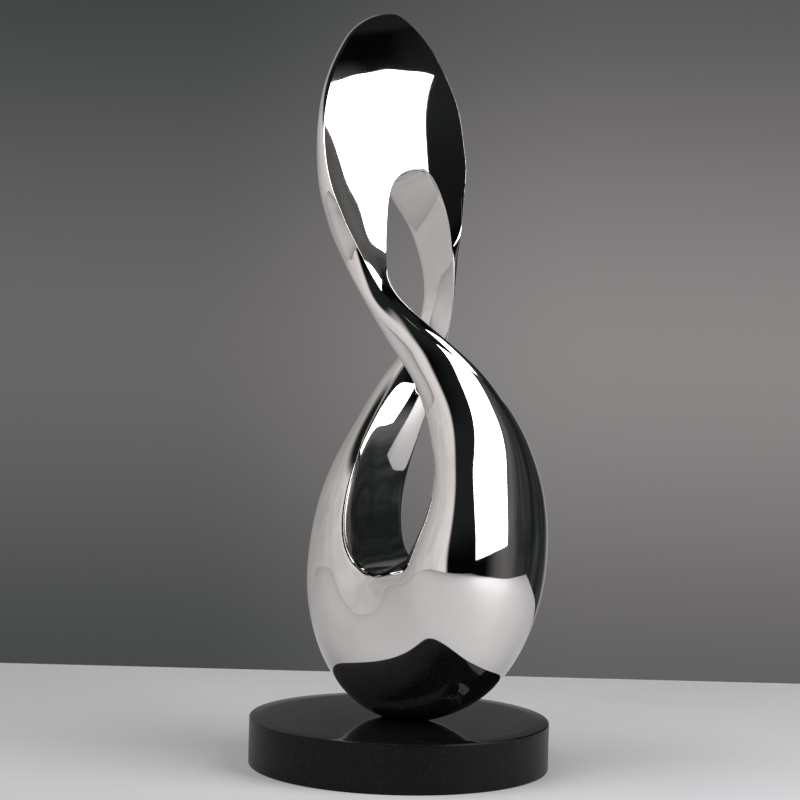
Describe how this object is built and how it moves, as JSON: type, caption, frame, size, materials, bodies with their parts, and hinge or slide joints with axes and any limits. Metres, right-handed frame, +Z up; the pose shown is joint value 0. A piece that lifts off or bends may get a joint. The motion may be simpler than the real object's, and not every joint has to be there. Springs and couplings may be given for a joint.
{
  "type": "abstract metal sculpture",
  "caption": "Tall twisted loop of mirror-polished steel, egg-shaped below and leaf-shaped above, standing on a round black stone plinth.",
  "frame": {"origin": "centre of the plinth's round underside", "axes": "+Z up along the sculpture's height; -Y towards the viewer of its main side, +X to that viewer's right"},
  "size_m": [0.3, 0.3, 0.7533],
  "materials": {
    "polished_steel": "stainless steel ground smooth and buffed to a mirror, with faint hand-polishing swirls and a few finger smudges",
    "black_stone": "black granite, polished on top, a little duller on the rim, with a fine grey fleck and a small bevel"
  },
  "bodies": {
    "root": {"twisted_ring": "polished_steel", "plinth": "black_stone"}
  },
  "joints": []
}
